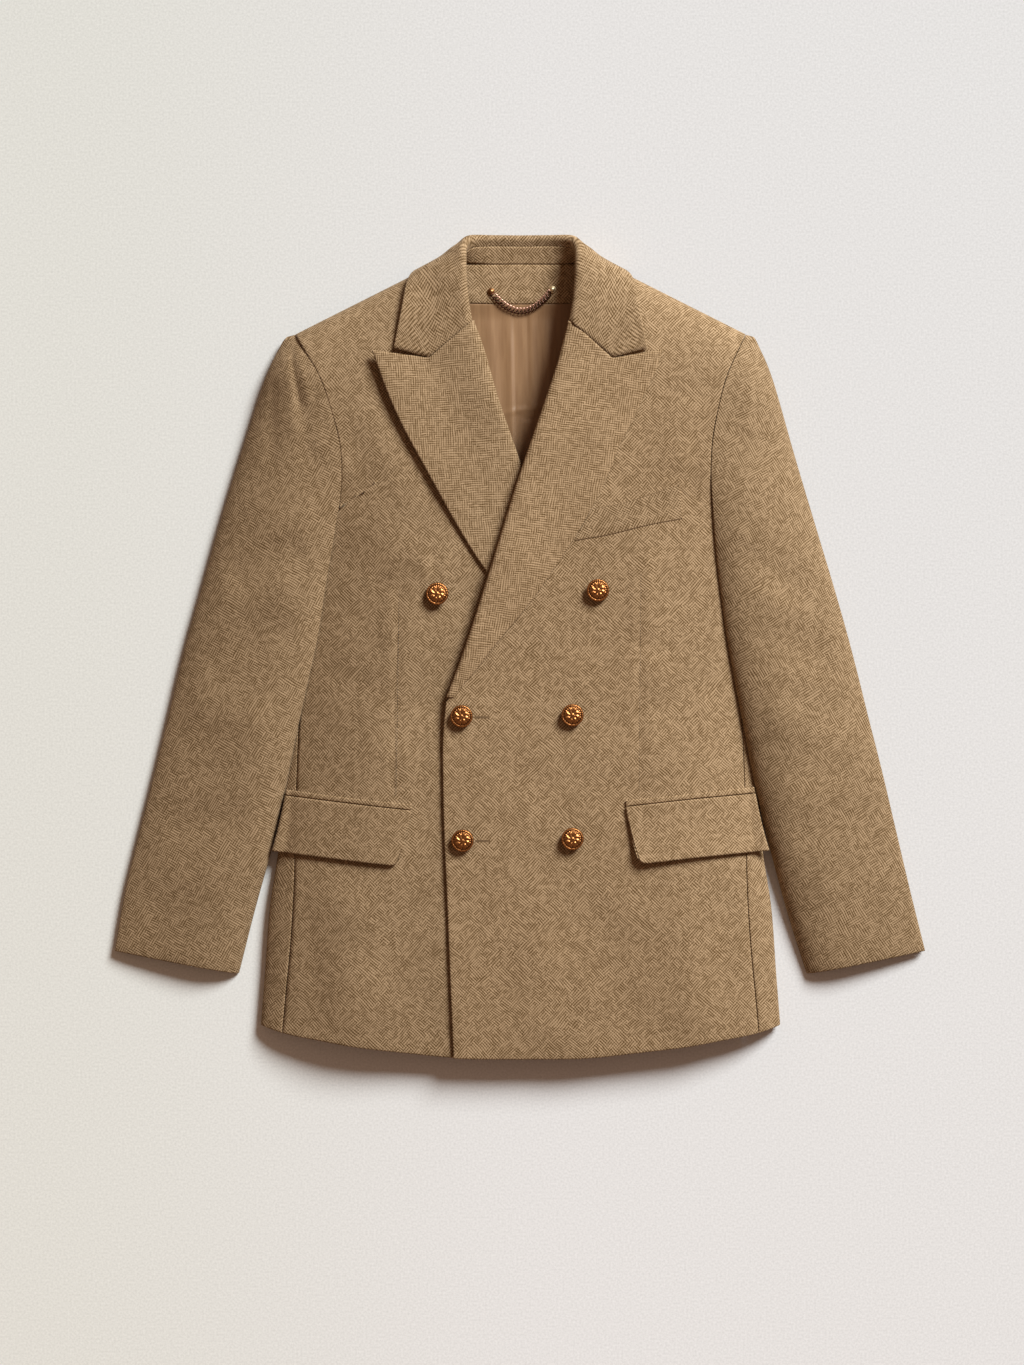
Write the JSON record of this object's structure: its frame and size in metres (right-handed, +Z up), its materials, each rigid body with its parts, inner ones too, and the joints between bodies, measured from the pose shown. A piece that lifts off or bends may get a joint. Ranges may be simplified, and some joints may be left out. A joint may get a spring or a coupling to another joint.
{
  "type": "double breasted blazer",
  "caption": "Double breasted blazer with peak lapels, flap pockets and a breast welt, lying flat with its front lapped and closed, for wear over a shirt.",
  "frame": {"origin": "centre of the bounding box, at the underside that rests on the surface", "axes": "+Z up from the surface, out of the blazer's front; +Y along the centre back towards the collar; +X towards the wearer's left sleeve"},
  "size_m": [0.7425, 0.753, 0.0408],
  "materials": {
    "wool": "two-tone brown and beige wool with a broken twill of short diagonal strokes",
    "facing_wool": "the same wool with the strokes turned, on lapels, collar and neck facing",
    "satin": "smooth copper-brown satin lining",
    "copper_metal": "aged copper-gold metal, dark in its hollows"
  },
  "bodies": {
    "root": {"back_left": "wool", "back_right": "wool", "side_left": "wool", "side_right": "wool", "front_over": "wool", "front_under": "wool", "top_sleeve_left": "wool", "top_sleeve_right": "wool", "under_sleeve_left": "wool", "under_sleeve_right": "wool", "jet_left": "wool", "jet_right": "wool", "flap_left": "wool", "flap_right": "wool", "breast_welt": "wool", "lapel_over": "facing_wool", "lapel_under": "facing_wool", "collar_leaf": "facing_wool", "collar_stand": "facing_wool", "neck_facing": "facing_wool", "back_lining": "satin", "button_top_right": "copper_metal", "button_top_left": "copper_metal", "button_middle_right": "copper_metal", "button_middle_left": "copper_metal", "button_low_right": "copper_metal", "button_low_left": "copper_metal", "rivet_right": "copper_metal", "rivet_left": "copper_metal", "hanger_chain": "copper_metal"}
  },
  "joints": []
}
